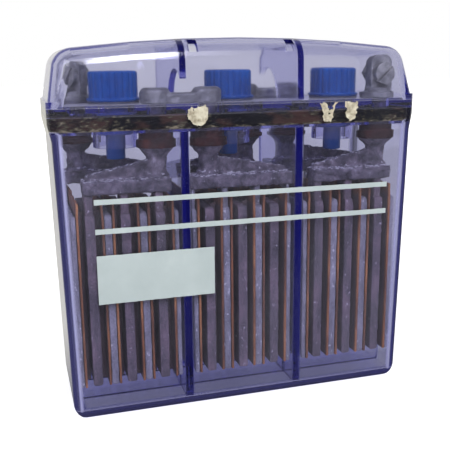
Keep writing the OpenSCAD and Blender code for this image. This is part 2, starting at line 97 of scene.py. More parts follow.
def join(tree, source, target):
    # links one socket to another, or else sets the value of the target
    if isinstance(source, bpy.types.NodeSocket):
        tree.links.new(source, target)
    else:
        target.default_value = source


def objectNoise(tree, scale, detail=3.0, rough=0.55, stretch=(1, 1, 1), shift=(0, 0, 0)):
    # noise over Object coordinates, in cells per metre
    place = addNode(tree, "ShaderNodeTexCoord").outputs["Object"]
    place = addNode(tree, "ShaderNodeMapping", Vector=place, Scale=stretch, Location=shift).outputs["Vector"]
    noise = addNode(tree, "ShaderNodeTexNoise", Vector=place, Scale=scale, Detail=detail, Roughness=rough)
    return noise.outputs["Fac"]


def ramp(tree, source, stops):
    node = addNode(tree, "ShaderNodeValToRGB", Fac=source)
    elements = node.color_ramp.elements
    while len(elements) < len(stops):
        elements.new(0.5)
    for element, (position, colour) in zip(elements, stops):
        element.position = position
        element.color = (*colour, 1) if len(colour) == 3 else (colour[0],) * 3 + (1,)
    return node.outputs["Color"]


def calculate(tree, operation, first, second, clamp=False):
    node = addNode(tree, "ShaderNodeMath", operation=operation, use_clamp=clamp)
    join(tree, first, node.inputs[0])
    join(tree, second, node.inputs[1])
    return node.outputs[0]


def blend(tree, factor, first, second):
    node = addNode(tree, "ShaderNodeMix", data_type="RGBA")
    for number, value in ((0, factor), (6, first), (7, second)):
        join(tree, (*value, 1)[:4] if isinstance(value, tuple) else value, node.inputs[number])
    return node.outputs[2]


def blendShaders(tree, factor, first, second):
    node = addNode(tree, "ShaderNodeMixShader")
    for socket, source in zip(node.inputs, (factor, first, second)):
        join(tree, source, socket)
    return node.outputs[0]


def bumps(tree, source, strength, distance):
    node = addNode(tree, "ShaderNodeBump", Height=source, Strength=strength, Distance=distance)
    return node.outputs["Normal"]


def axesOf(tree, source=None):
    # the X, Y and Z outputs of a vector, or else of the Object coordinates
    if source is None:
        source = addNode(tree, "ShaderNodeTexCoord").outputs["Object"]
    return addNode(tree, "ShaderNodeSeparateXYZ", Vector=source).outputs


def between(tree, source, limits):
    # 1 where a value lies between two limits, and 0 elsewhere
    above = calculate(tree, "GREATER_THAN", source, limits[0])
    return calculate(tree, "MULTIPLY", above, calculate(tree, "LESS_THAN", source, limits[1]))


def remap(tree, source, limits, ends=(0.0, 1.0), kind="LINEAR"):
    node = addNode(tree, "ShaderNodeMapRange", interpolation_type=kind, Value=source, From_Min=limits[0],
                   From_Max=limits[1], To_Min=ends[0], To_Max=ends[1])
    return node.outputs["Result"]


def shareStops(pairs):
    # ramp stops for a plain share, from (position, value) pairs
    return [(position, (value,)) for position, value in pairs]


# light: a plain world and two soft lamps. The floor and the world are white to the camera and a light
# grey room to rays that come through the plastic. Rays that its surface mirrors find the room dim in front
# of the battery and bright behind it, and the fades give where along Y it turns from one to the other
light = {
    "worldStrength": 0.45,
    "seenDirect": (1.0, 1.0, 1.0, 1),
    "seenThrough": (0.77, 0.77, 0.71, 1),
    "mirroredBehind": (0.85, 0.84, 0.80, 1),
    "mirroredFront": (0.07, 0.07, 0.08, 1),
    "mirroredFloor": (0.74, 0.73, 0.66, 1),
    "lamps": [
        {"name": "windowLamp", "place": (0.066, -0.70, 0.66), "size": (0.16, 0.45), "power": 4.4},
        {"name": "sideLamp", "place": (-0.6, -0.6, 0.7), "size": (0.5, 0.5), "power": 3.0},
    ],
    "aim": (0.0, 0.0, 0.07),
    "roomFade": (-0.2, 0.5),
    "floorFade": (-0.06, 0.1),
    "floorColour": (0.8, 0.8, 0.8, 1),
    "floorGlow": ((0.0, 0.62), (0.05, 0.7), (0.2, 1.0)),
    # painted shadow: how bright the floor glows through the plastic, by distance, darkest close to the battery
    "paintedFloorShadow": ((0.0, 0.42), (0.03, 0.6), (0.1, 0.8), (0.6, 0.95), (1.0, 1.0)),
    "floorReach": 3.0,
    "floorSize": 9.0,
    "floorDepth": 0.00015,
}


def fadeFromFront(tree, source, limits):
    # a share from 0 towards the photographer to 1 behind the battery, along Y
    return remap(tree, axesOf(tree, source)["Y"], limits, kind="SMOOTHSTEP")


def makeWorld():
    world = bpy.data.worlds.new("studio")
    scene.world = world
    world.use_nodes = True
    tree = world.node_tree
    tree.nodes.clear()
    output = tree.nodes.new("ShaderNodeOutputWorld")
    path = addNode(tree, "ShaderNodeLightPath")
    plain = addNode(tree, "ShaderNodeBackground", Color=light["seenDirect"], Strength=light["worldStrength"])
    place = addNode(tree, "ShaderNodeTexCoord").outputs["Generated"]
    behind = fadeFromFront(tree, place, light["roomFade"])
    shade = blend(tree, behind, light["mirroredFront"], light["mirroredBehind"])
    mirrored = addNode(tree, "ShaderNodeBackground", Color=shade, Strength=1.0)
    result = blendShaders(tree, path.outputs["Is Glossy Ray"], plain.outputs[0], mirrored.outputs[0])
    for mask, key in (("Is Transmission Ray", "seenThrough"), ("Is Camera Ray", "seenDirect")):
        seen = addNode(tree, "ShaderNodeBackground", Color=light[key], Strength=1.0)
        result = blendShaders(tree, path.outputs[mask], result, seen.outputs[0])
    join(tree, result, output.inputs["Surface"])


def makeLamps():
    for lamp in light["lamps"]:
        data = bpy.data.lights.new(lamp["name"], "AREA")
        data.shape = "RECTANGLE"
        data.size, data.size_y = lamp["size"]
        data.energy = lamp["power"]
        thing = bpy.data.objects.new(lamp["name"], data)
        thing.location = lamp["place"]
        thing.rotation_euler = (Vector(light["aim"]) - thing.location).to_track_quat("-Z", "Y").to_euler()
        scene.collection.objects.link(thing)


def makeFloor():
    half, low = light["floorSize"] / 2, -light["floorDepth"]
    mesh = bpy.data.meshes.new("floor")
    corners = [(-half, -half, low), (half, -half, low), (half, half, low), (-half, half, low)]
    mesh.from_pydata(corners, [], [(0, 1, 2, 3)])
    floor = bpy.data.objects.new("floor", mesh)
    scene.collection.objects.link(floor)
    material, tree, output = newMaterial("floorWhite")
    path = addNode(tree, "ShaderNodeLightPath")
    diffuse = addNode(tree, "ShaderNodeBsdfDiffuse", Color=light["floorColour"])
    place = addNode(tree, "ShaderNodeTexCoord").outputs["Object"]
    length = addNode(tree, "ShaderNodeVectorMath", operation="LENGTH", Vector=place)
    distance = calculate(tree, "DIVIDE", length.outputs["Value"], light["floorReach"], True)
    glow = addNode(tree, "ShaderNodeEmission", Strength=ramp(tree, distance, shareStops(light["floorGlow"])))
    bright = addNode(tree, "ShaderNodeAddShader")
    join(tree, diffuse.outputs[0], bright.inputs[0])
    join(tree, glow.outputs[0], bright.inputs[1])
    result = blendShaders(tree, path.outputs["Is Camera Ray"], diffuse.outputs[0], bright.outputs[0])
    # through the plastic the floor glows the same grey as the room, darker close to the battery as a painted
    # shadow
    floorShadow = ramp(tree, distance, shareStops(light["paintedFloorShadow"]))
    grey = addNode(tree, "ShaderNodeEmission", Color=light["seenThrough"], Strength=floorShadow)
    behind = fadeFromFront(tree, place, light["floorFade"])
    shade = blend(tree, behind, light["mirroredFront"], light["mirroredFloor"])
    dim = addNode(tree, "ShaderNodeEmission", Color=shade, Strength=1.0)
    result = blendShaders(tree, path.outputs["Is Glossy Ray"], result, dim.outputs[0])
    result = blendShaders(tree, path.outputs["Is Transmission Ray"], result, grey.outputs[0])
    join(tree, result, output.inputs["Surface"])
    floor.data.materials.append(material)


makeWorld()
makeLamps()
makeFloor()
print("light and floor made")


# helpers for meshes; sizes are in millimetres until a mesh is stored
def storeMesh(name, points, groups, smooth=True):
    # each group is an array with one face's point numbers in each row
    faces = [face for group in groups for face in group.tolist()]
    mesh = bpy.data.meshes.new(name)
    mesh.from_pydata((np.asarray(points, float) * mm).tolist(), [], faces)
    mesh.validate()
    mesh.update()
    if smooth:
        smoothAll(mesh)
    return mesh


def gather(parts):
    # one list of points and one of face groups, from the points and face groups of several parts
    points, groups, start = [], [], 0
    for partPoints, partGroups in parts:
        points.append(partPoints)
        groups += [group + start for group in partGroups]
        start += len(partPoints)
    return np.concatenate(points), groups


def pieceName(node, ending):
    words = node.split("_")
    return words[0] + "".join(word.capitalize() for word in words[1:]) + ending


def addPiece(name, mesh, material, body, slot, *replaced):
    thing = bpy.data.objects.new(name, mesh)
    scene.collection.objects.link(thing)
    mesh.materials.clear()
    mesh.materials.append(material)
    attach(thing, body)
    if replaced:
        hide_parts(*replaced)


def gridFaces(rows, columns, closed=True):
    # quads between rows of points; a closed row joins its last point to its first
    last = columns if closed else columns - 1
    row, column = np.meshgrid(np.arange(rows - 1), np.arange(last), indexing="ij")
    beside = (column + 1) % columns
    a = row * columns + column
    b = row * columns + beside
    return np.stack([a, b, b + columns, a + columns], axis=-1).reshape(-1, 4)


def foldedEnds(rows, count, columns):
    # quads over the first and last row of a tube whose rows run out over some columns and back again
    i = np.arange(columns - 1)
    c, d = count - 2 - i, count - 1 - i
    first = np.stack([d, c, i + 1, i], 1)
    last = np.stack([i, i + 1, c, d], 1) + (rows - 1) * count
    return np.stack([first, last], 1).reshape(-1, 4)


def onGrid(rowValues, columnValues):
    # two arrays of one shape: the row's value and the column's value at each point of a grid
    return np.meshgrid(rowValues, columnValues, indexing="ij")


def lumps(points, size, seed, octaves=3):
    # smooth noise from -1 to 1: in each octave the sum of six sine waves in random directions, with
    # waves half as long and half as high as in the octave before
    rng = np.random.default_rng(seed)
    total = np.zeros(len(points))
    weight = 0
    for octave in range(octaves):
        wave = 2 * math.pi / (size / 2 ** octave)
        for each in range(6):
            direction = rng.normal(size=3)
            direction /= np.linalg.norm(direction)
            phase = rng.uniform(0, 2 * math.pi)
            total += 0.5 ** octave * np.sin(points @ direction * wave * rng.uniform(0.6, 1.4) + phase)
        weight += 0.5 ** octave
    return np.clip(total / (weight * 2.6), -1, 1)


def edit(mesh, action):
    # runs an action on the mesh as a bmesh
    work = bmesh.new()
    work.from_mesh(mesh)
    action(work)
    work.to_mesh(mesh)
    work.free()
    mesh.update()


def mergedCopy(node):
    # a copy of a CAD mesh with its doubled points merged
    mesh = nodes[node].data.copy()
    edit(mesh, lambda work: bmesh.ops.remove_doubles(work, verts=work.verts, dist=0.002 * mm))
    return mesh


def evaluated(mesh, *modifiers):
    # the mesh after a list of (kind, settings) modifiers
    helper = bpy.data.objects.new("helper", mesh)
    scene.collection.objects.link(helper)
    for kind, settings in modifiers:
        modifier = helper.modifiers.new(kind, kind)
        for key, value in settings.items():
            setattr(modifier, key, value)
    graph = bpy.context.evaluated_depsgraph_get()
    result = bpy.data.meshes.new_from_object(helper.evaluated_get(graph))
    bpy.data.objects.remove(helper)
    return result


def roundEdges(sizes):
    # a bevel modifier from a piece's edge radius, steps and least angle
    return "BEVEL", {"width": sizes["edge"] * mm, "segments": sizes["steps"], "limit_method": "ANGLE",
                     "angle_limit": sizes["angle"]}


def meshPoints(mesh, kind="co"):
    # the places of a mesh's points, or with kind "normal" their normals
    values = np.empty(len(mesh.vertices) * 3, np.float32)
    mesh.vertices.foreach_get(kind, values)
    return values.reshape(-1, 3).astype(float)


def setPoints(mesh, points):
    mesh.vertices.foreach_set("co", points.astype(np.float32).ravel())
    mesh.update()


def smoothAll(mesh):
    mesh.polygons.foreach_set("use_smooth", [True] * len(mesh.polygons))
    mesh.update()


def softened(node, cell, passes, grow, rough, size, seed):
    # a copy of a CAD mesh with rounded edges, moved out by grow and roughened with lumps
    mesh = evaluated(
        mergedCopy(node),
        ("REMESH", {"mode": "VOXEL", "voxel_size": cell * mm}),
        ("SMOOTH", {"factor": 0.5, "iterations": passes}),
    )
    points = meshPoints(mesh)
    reach = grow + rough * lumps(points / mm, size, seed)
    setPoints(mesh, points + meshPoints(mesh, "normal") * reach[:, None] * mm)
    smoothAll(mesh)
    return mesh


# the jar's outside in millimetres: half its width and depth at the foot, and how much more at its height
wall = {
    "height": 117.2,
    "halfWide": 69.2,
    "flareWide": 2.2,
    "halfDeep": 23.3,
    "flareDeep": 1.0,
}

# clear violet plastic: it bends light, and the longer the way through it, the deeper the blue. Its smears
# make the surface rougher and its film of dust thicker; the film's settings are its least and most share
plastic = {
    "tint": (0.045, 0.045, 0.70, 1),
    "density": 110.0,
    "ior": 1.49,
    "jarBody": (0.93, 0.93, 1.0, 1),
    "hoodBody": (0.97, 0.97, 1.0, 1),
    "film": (0.62, 0.62, 0.66, 1),
    # painted light: the deep blue glow that stands in for light carried along inside a wall, and after how many
    # mirror bounces it shows
    "led": (0.075, 0.08, 0.38, 1),
    "paintedGlowAfter": 2.5,
    "filmLow": 0.004,
    "jarFilm": 0.035,
    "hoodFilm": 0.02,
    "jarRough": 0.02,
    "hoodRough": 0.08,
    # painted colours: a dark blue for shade along the corners and low on the wall, and a pale lavender for light
    # bent through the corners
    "blue": (0.05, 0.049, 0.14, 1),
    "pale": (0.5, 0.5, 0.76, 1),
    "smear": {"scale": 28, "detail": 5, "rough": 0.65, "stretch": (1, 1, 0.45)},
    "smearRough": (0.3, 1.4),
    "smearFilm": (0.42, 0.75),
    "wave": {"scale": 45, "detail": 2, "rough": 0.4, "stretch": (1, 1, 0.5)},
    "waveStrength": 0.05,
    "waveHeight": 0.0004,
    "cornerDepth": 0.0046,
    "cornerLevels": (0.004, 0.1115),
    # stops of the painted shade and painted light: dark blue along the corners, pale light beside it, a dark blue
    # band of painted shade near the floor and a pale line across it
    "paintedCornerShade": ((0.0, 0.1), (0.04, 0.65), (0.21, 0.6), (0.27, 0.0)),
    "paintedCornerLight": ((0.21, 0.0), (0.27, 0.5), (0.33, 0.32), (0.4, 0.0)),
    "rightShift": 0.0006,
    "paintedFootShade": ((0.0, 0.75), (0.2, 0.66), (0.215, 0.16), (0.62, 0.12), (0.7, 0.0)),
    "floorLine": ((0.21, 0.0), (0.217, 0.3), (0.232, 0.3), (0.24, 0.0)),
    "levelUp": 0.7,
    "ledge": (0.1185, 0.1218),
    "ledgeFilm": 0.4,
    "rim": (0.1168, 0.1222),
    "rimFilm": 0.045,
}


def wallDistance(tree, axis, place, half, flare):
    # distance in from a pair of walls that lean outward: half + flare * height - the place's size
    lean = calculate(tree, "MULTIPLY", axis["Z"], wall[flare] / wall["height"])
    edge = calculate(tree, "ADD", lean, wall[half] * mm)
    return calculate(tree, "SUBTRACT", edge, calculate(tree, "ABSOLUTE", axis[place], 0.0))


def paintedCornerShares(tree):
    # shares of painted dark blue shade and of painted pale light on the front and back face, in place of the deep
    # blue and the lavender
    # light that the rounded corners bend: along the upright corners they follow the distance in from the side, in
    # centimetres, and near the floor, where the dark blue is painted shade low on the wall and the pale makes a
    # line, the height, in 20 mm
    axis = axesOf(tree)
    right = calculate(tree, "GREATER_THAN", axis["X"], 0.0)
    side = wallDistance(tree, axis, "X", "halfWide", "flareWide")
    side = calculate(tree, "SUBTRACT", side, calculate(tree, "MULTIPLY", right, plastic["rightShift"]))
    inward = calculate(tree, "MULTIPLY", side, 100.0, True)
    height = calculate(tree, "MULTIPLY", axis["Z"], 50.0, True)
    face = wallDistance(tree, axis, "Y", "halfDeep", "flareDeep")
    face = calculate(tree, "LESS_THAN", face, plastic["cornerDepth"])
    near = calculate(tree, "MULTIPLY", face, between(tree, axis["Z"], plastic["cornerLevels"]))
    shares = []
    for corner, floor in (("paintedCornerShade", "paintedFootShade"), ("paintedCornerLight", "floorLine")):
        share = calculate(tree, "MULTIPLY", ramp(tree, inward, shareStops(plastic[corner])), near)
        level = calculate(tree, "MULTIPLY", ramp(tree, height, shareStops(plastic[floor])), face)
        shares.append(calculate(tree, "MAXIMUM", share, level))
    return shares


def rimShare(tree):
    # dust that lies on the level ledges of the lid's rim and the hood's foot, and a thin film round both
    shape = addNode(tree, "ShaderNodeNewGeometry")
    height = axesOf(tree)["Z"]
    flat = calculate(tree, "GREATER_THAN", axesOf(tree, shape.outputs["Normal"])["Z"], plastic["levelUp"])
    ledge = calculate(tree, "MULTIPLY", flat, between(tree, height, plastic["ledge"]))
    ledge = calculate(tree, "MULTIPLY", ledge, plastic["ledgeFilm"])
    around = calculate(tree, "MULTIPLY", between(tree, height, plastic["rim"]), plastic["rimFilm"])
    return calculate(tree, "MAXIMUM", ledge, around)


def clearPlastic(name, kind, shift=(0, 0, 0), corners=False):
    colour, roughness, film = [plastic[kind + ending] for ending in ("Body", "Rough", "Film")]
    material, tree, output = newMaterial(name)
    smear = objectNoise(tree, shift=shift, **plastic["smear"])
    least, more = plastic["smearRough"]
    varied = calculate(tree, "MULTIPLY", smear, roughness * more)
    varied = calculate(tree, "ADD", varied, roughness * least)
    wave = bumps(tree, objectNoise(tree, shift=shift, **plastic["wave"]), plastic["waveStrength"],
                 plastic["waveHeight"])
    body = addNode(tree, "ShaderNodeBsdfPrincipled", Base_Color=colour, IOR=plastic["ior"],
                   Transmission_Weight=1.0, Roughness=varied, Normal=wave)
    # a thin film of dust and scratches
    dust = addNode(tree, "ShaderNodeBsdfDiffuse", Color=plastic["film"])
    amount = ramp(tree, smear, shareStops(zip(plastic["smearFilm"], (plastic["filmLow"], film))))
    amount = calculate(tree, "MAXIMUM", amount, rimShare(tree))
    dusty = blendShaders(tree, amount, body.outputs[0], dust.outputs[0])
    # painted shade and painted light along the jar's corners and near its foot
    if corners:
        for share, key in zip(paintedCornerShares(tree), ("blue", "pale")):
            paintedLayer = addNode(tree, "ShaderNodeBsdfDiffuse", Color=plastic[key])
            dusty = blendShaders(tree, share, dusty, paintedLayer.outputs[0])
    # painted light: after a few mirror bounces the surface glows deep blue, an emission that stands in for light
    # carried along inside a wall; only those later mirrored rays see it
    path = addNode(tree, "ShaderNodeLightPath")
    led = addNode(tree, "ShaderNodeEmission", Color=plastic["led"], Strength=1.0)
    deep = calculate(tree, "GREATER_THAN", path.outputs["Glossy Depth"], plastic["paintedGlowAfter"])
    withPaintedGlow = blendShaders(tree, deep, dusty, led.outputs[0])
    # lamps and soft light pass straight through
    clear = addNode(tree, "ShaderNodeBsdfTransparent")
    either = calculate(tree, "MAXIMUM", path.outputs["Is Shadow Ray"], path.outputs["Is Diffuse Ray"])
    join(tree, blendShaders(tree, either, withPaintedGlow, clear.outputs[0]), output.inputs["Surface"])
    inside = addNode(tree, "ShaderNodeVolumeAbsorption", Color=plastic["tint"], Density=plastic["density"])
    join(tree, inside.outputs[0], output.inputs["Volume"])
    return material


def finishBody(tree, output, body, colour, height, strength, reach):
    # an opaque body with its colour and with bumps of a strength and a height in metres
    join(tree, colour, body.inputs["Base Color"])
    join(tree, bumps(tree, height, strength, reach), body.inputs["Normal"])
    join(tree, body.outputs[0], output.inputs["Surface"])


def mottled(name, stops, scale, roughness, bump, fine, metal=0.0, shine=0.5, floorShadow=0.3, reach=0.0003):
    # an opaque finish: a ramp of colours over noise, with finer noise as bumps and as uneven roughness
    material, tree, output = newMaterial(name)
    grain = objectNoise(tree, fine, 4, 0.6)
    uneven = calculate(tree, "ADD", calculate(tree, "MULTIPLY", grain, floorShadow), roughness - floorShadow / 2)
    body = addNode(tree, "ShaderNodeBsdfPrincipled", Metallic=metal, Specular_IOR_Level=shine, Roughness=uneven)
    colour = ramp(tree, objectNoise(tree, scale, 5, 0.62), stops)
    finishBody(tree, output, body, colour, grain, bump, reach)
    return material


# sealing compound: heights in metres, noise in cells per metre
dirt = {
    "black": (0.004, 0.004, 0.004),
    "brown": (0.07, 0.034, 0.02),
    "olive": (0.085, 0.078, 0.04),
    "beige": (0.34, 0.29, 0.16),
    "foot": 0.1120,
    "footReach": 0.0012,
    "footShare": (0.20, -0.03),
    "patchScale": 70,
    "patchFrom": (0.48, 0.62),
    "crumbScale": 900,
    "broadScale": 120,
    "broadShare": 0.5,
    "oliveFrom": (0.53, 0.66),
    "beigeFrom": (0.66, 0.76),
}


def rising(tree, source, limits):
    # a share that rises from 0 to 1 between two values
    return ramp(tree, source, shareStops(zip(limits, (0.0, 1.0))))


def bitumen(name):
    # black stuff with brown patches and olive crumbs; the crumbs lie thickest along its foot
    material, tree, output = newMaterial(name)
    body = addNode(tree, "ShaderNodeBsdfPrincipled", Roughness=0.6, Specular_IOR_Level=0.2)
    patch = rising(tree, objectNoise(tree, dirt["patchScale"], 3, 0.6, (1, 1, 2)), dirt["patchFrom"])
    colour = blend(tree, patch, dirt["black"], dirt["brown"])
    limits = (dirt["foot"], dirt["foot"] + dirt["footReach"])
    low = remap(tree, axesOf(tree)["Z"], limits, dirt["footShare"])
    crumbs = objectNoise(tree, dirt["crumbScale"], 4, 0.62, (0.5, 0.5, 1.2))
    broad = objectNoise(tree, dirt["broadScale"], 2, 0.5, (1, 1, 1), (9, 3, 1))
    broad = calculate(tree, "MULTIPLY", calculate(tree, "SUBTRACT", broad, 0.5), dirt["broadShare"])
    mixed = calculate(tree, "ADD", calculate(tree, "ADD", crumbs, broad), low)
    colour = blend(tree, rising(tree, mixed, dirt["oliveFrom"]), colour, dirt["olive"])
    colour = blend(tree, rising(tree, mixed, dirt["beigeFrom"]), colour, dirt["beige"])
    finishBody(tree, output, body, colour, crumbs, 0.8, 0.0004)
    return material


# plate paste: how much of the pattern is broad stain and how much fine grain, and the pale flecks over it
pasteLook = {
    "stainShare": 0.62,
    "grainShare": 0.38,
    "grainScale": 1500,
    "fleckScale": 900,
    "fleckFade": 0.05,
    "fleckShare": 0.7,
    "bump": 0.9,
}


def paste(name, stops, scale, fleck, fleckFrom):
    # dry plate paste: broad stains, a fine grain over them and small pale flecks
    look = pasteLook
    material, tree, output = newMaterial(name)
    body = addNode(tree, "ShaderNodeBsdfPrincipled", Roughness=0.8, Specular_IOR_Level=0.3)
    stain = calculate(tree, "MULTIPLY", objectNoise(tree, scale, 4, 0.6, (1, 1, 0.35)), look["stainShare"])
    grain = calculate(tree, "MULTIPLY", objectNoise(tree, look["grainScale"], 3, 0.7), look["grainShare"])
    mixed = calculate(tree, "ADD", stain, grain)
    spots = objectNoise(tree, look["fleckScale"], 2, 0.5, (1, 1, 0.6), (4, 2, 7))
    spots = rising(tree, spots, (fleckFrom, fleckFrom + look["fleckFade"]))
    spots = calculate(tree, "MULTIPLY", spots, look["fleckShare"])
    colour = blend(tree, spots, ramp(tree, mixed, stops), fleck)
    finishBody(tree, output, body, colour, mixed, look["bump"], 0.0004)
    return material


# separators: colours of the painted shade between the plates and of the orange along the edges, and where the
# edge's orange sets in, in metres
sheetLook = {
    "within": ((0.3, (0.062, 0.046, 0.055)), (0.6, (0.125, 0.08, 0.08))),
    "rim": ((0.35, (0.12, 0.045, 0.02)), (0.5, (0.24, 0.09, 0.032)), (0.62, (0.44, 0.18, 0.06))),
    "rimFrom": (0.0198, 0.0206),
    "topFrom": (0.0805, 0.0830),
    "topShare": 0.6,
    "streakScale": 150,
    "bumpScale": 900,
}


def sheetFinish(name):
    # painted shade: dark brown between the plates, where little light reaches; the sheet's orange along the
    # upright edges and above the plates
    look = sheetLook
    material, tree, output = newMaterial(name)
    body = addNode(tree, "ShaderNodeBsdfPrincipled", Roughness=0.6)
    streaks = objectNoise(tree, look["streakScale"], 4, 0.65, (1, 1, 0.2))
    axis = axesOf(tree)
    outer = remap(tree, calculate(tree, "ABSOLUTE", axis["Y"], 0.0), look["rimFrom"])
    upper = calculate(tree, "MULTIPLY", remap(tree, axis["Z"], look["topFrom"]), look["topShare"])
    share = calculate(tree, "MAXIMUM", outer, upper)
    colour = blend(tree, share, ramp(tree, streaks, look["within"]), ramp(tree, streaks, look["rim"]))
    finishBody(tree, output, body, colour, objectNoise(tree, look["bumpScale"], 4, 0.6), 0.3, 0.0003)
    return material


# cast straps: pale speckles, partly salt and partly a painted highlight, which upward faces raise over the ramp's
# start more often
saltLook = {
    "scale": 700,
    "lift": 0.2,
    "from": (0.66, 0.78),
    "bump": 0.9,
    "bumpScale": 600,
}


def corroded(name, stops, scale, saltAndHighlight):
    # cast lead with pale salt speckles, more where it faces upward as a painted highlight on its tops
    look = saltLook
    material, tree, output = newMaterial(name)
    body = addNode(tree, "ShaderNodeBsdfPrincipled", Roughness=0.65, Metallic=0.1)
    shape = addNode(tree, "ShaderNodeNewGeometry")
    upward = calculate(tree, "MAXIMUM", axesOf(tree, shape.outputs["Normal"])["Z"], 0.0)
    speck = objectNoise(tree, look["scale"], 4, 0.65, (1, 1, 1), (5, 1, 3))
    speck = calculate(tree, "ADD", speck, calculate(tree, "MULTIPLY", upward, look["lift"]))
    cast = ramp(tree, objectNoise(tree, scale, 5, 0.65), stops)
    colour = blend(tree, rising(tree, speck, look["from"]), cast, saltAndHighlight)
    finishBody(tree, output, body, colour, objectNoise(tree, look["bumpScale"], 4, 0.65), look["bump"], 0.0005)
    return material


# colours by noise value; scale and fine are cells per metre of the pattern and of its bumps
jarPlastic = clearPlastic("jarPlastic", "jar", corners=True)
lidPlastic = clearPlastic("lidPlastic", "jar", (1, 2, 0))
hoodPlastic = clearPlastic("hoodPlastic", "hood", (3, 1, 2))
compoundDark = bitumen("compoundDark")
separatorOrange = sheetFinish("separatorOrange")
# the pale speckle colour is salt and a painted highlight on the straps' tops
strapGrey = corroded("strapGrey", scale=190, saltAndHighlight=(0.62, 0.6, 0.62), stops=(
    (0.34, (0.03, 0.026, 0.034)), (0.5, (0.1, 0.085, 0.105)), (0.62, (0.2, 0.17, 0.2)),
    (0.74, (0.36, 0.32, 0.36))))
positiveBrown = paste("positiveBrown", scale=150, fleck=(0.5, 0.44, 0.5), fleckFrom=0.68, stops=(
    (0.34, (0.05, 0.043, 0.05)), (0.48, (0.125, 0.103, 0.118)), (0.58, (0.195, 0.14, 0.165)),
    (0.7, (0.33, 0.26, 0.3))))
negativeGrey = paste("negativeGrey", scale=190, fleck=(0.68, 0.68, 0.73), fleckFrom=0.66, stops=(
    (0.34, (0.12, 0.115, 0.135)), (0.48, (0.22, 0.21, 0.245)), (0.58, (0.31, 0.295, 0.34)),
    (0.7, (0.46, 0.44, 0.49))))
leadGrey = mottled("leadGrey", scale=160, roughness=0.55, bump=0.5, fine=900, metal=0.25, stops=(
    (0.32, (0.09, 0.09, 0.095)), (0.48, (0.16, 0.16, 0.165)), (0.6, (0.24, 0.24, 0.24)),
    (0.74, (0.42, 0.42, 0.4))))
sealBrown = mottled("sealBrown", scale=180, roughness=0.55, bump=0.4, fine=900, shine=0.15, stops=(
    (0.3, (0.012, 0.004, 0.003)), (0.55, (0.04, 0.009, 0.006)), (0.75, (0.10, 0.024, 0.014))))
capBlue = mottled("capBlue", scale=90, roughness=0.42, bump=0.12, fine=1200, shine=0.15, stops=(
    (0.35, (0.0, 0.05, 0.24)), (0.58, (0.0, 0.08, 0.34)), (0.8, (0.0, 0.13, 0.46))))
ringDark = mottled("ringDark", scale=200, roughness=0.7, bump=0.3, fine=900, stops=(
    (0.4, (0.02, 0.03, 0.07)), (0.7, (0.05, 0.06, 0.11))))
screwGrey = mottled("screwGrey", scale=300, roughness=0.55, bump=0.5, fine=1500, metal=0.35, stops=(
    (0.35, (0.16, 0.16, 0.155)), (0.6, (0.34, 0.34, 0.32)), (0.8, (0.5, 0.48, 0.42))))
nutGrey = mottled("nutGrey", scale=300, roughness=0.55, bump=0.5, fine=1500, metal=0.35, stops=(
    (0.35, (0.12, 0.12, 0.11)), (0.6, (0.26, 0.26, 0.23)), (0.8, (0.42, 0.39, 0.33))))
printWhite = mottled("printWhite", scale=60, roughness=0.5, bump=0.1, fine=1500, stops=(
    (0.3, (0.43, 0.5, 0.51)), (0.6, (0.48, 0.55, 0.56)), (0.8, (0.56, 0.62, 0.62))))
residueCream = mottled("residueCream", scale=420, roughness=0.8, bump=0.9, fine=1200, stops=(
    (0.3, (0.22, 0.18, 0.12)), (0.5, (0.55, 0.5, 0.38)), (0.7, (0.75, 0.72, 0.6))))
print("materials made")


# shells: merged copies of the CAD shells with a small round on their edges; where two shells
# meet, at the heights in seats, the upper one is raised by a thin gap of air
shell = {
    "edge": 0.22,
    "steps": 2,
    "angle": 0.6,
    "gap": 0.04,
    "touch": 0.002,
    "lidSeats": (wall["height"],),
    "hoodSeats": (120.2,),
}

# the jar's foot: the CAD's round, the wider one along the narrow sides, and the heights of extra cuts
foot = {
    "round": 4.0,
    "wider": 6.3,
    "cuts": (4.7, 5.5, 6.3),
    "reach": 9.0,
}


def roundFoot(mesh):
    # widens the round between the jar's foot and its narrow sides: at height z a round of radius R
    # stands in by R - sqrt(R^2 - (R - z)^2), and the difference is shared out over the last 9 mm
    for level in foot["cuts"]:
        edit(mesh, lambda work: bmesh.ops.bisect_plane(
            work, geom=work.verts[:] + work.edges[:] + work.faces[:], dist=1e-6,
            plane_co=(0, 0, level * mm), plane_no=(0, 0, 1)))
    points = meshPoints(mesh) / mm
    x, z = points[:, 0].copy(), points[:, 2]
    before, after = [radius - np.sqrt(radius ** 2 - (radius - np.clip(z, 0, radius)) ** 2)
                     for radius in (foot["round"], foot["wider"])]
    start = wall["halfWide"] + wall["flareWide"] * z / wall["height"] - foot["reach"]
    beyond = np.maximum(np.abs(x) - start, 0)
    shrink = 1 - (after - before) / (foot["reach"] - before)
    points[:, 0] = np.sign(x) * (np.minimum(np.abs(x), start) + beyond * shrink)
    setPoints(mesh, points * mm)


def makeShell(name, node, material, slot, seats):
    mesh = mergedCopy(node)
    if node == "jar":
        roundFoot(mesh)
    points = meshPoints(mesh)
    for level in seats:
        points[np.abs(points[:, 2] - level * mm) < shell["touch"] * mm, 2] += shell["gap"] * mm
    setPoints(mesh, points)
    smoothAll(mesh)
    mesh.set_sharp_from_angle(angle=shell["angle"])
    flatWalls = "WEIGHTED_NORMAL", {"mode": "FACE_AREA", "weight": 50, "keep_sharp": True}
    mesh = evaluated(mesh, roundEdges(shell), flatWalls)
    addPiece(name, mesh, material, bodyOf[node], slot, node)


makeShell("jarShell", "jar", jarPlastic, "jar_clear", ())
makeShell("lidShell", "cell_lid", lidPlastic, "lid_clear", shell["lidSeats"])
makeShell("hoodShell", "terminal_hood", hoodPlastic, "hood_clear", shell["hoodSeats"])
print("shells made")


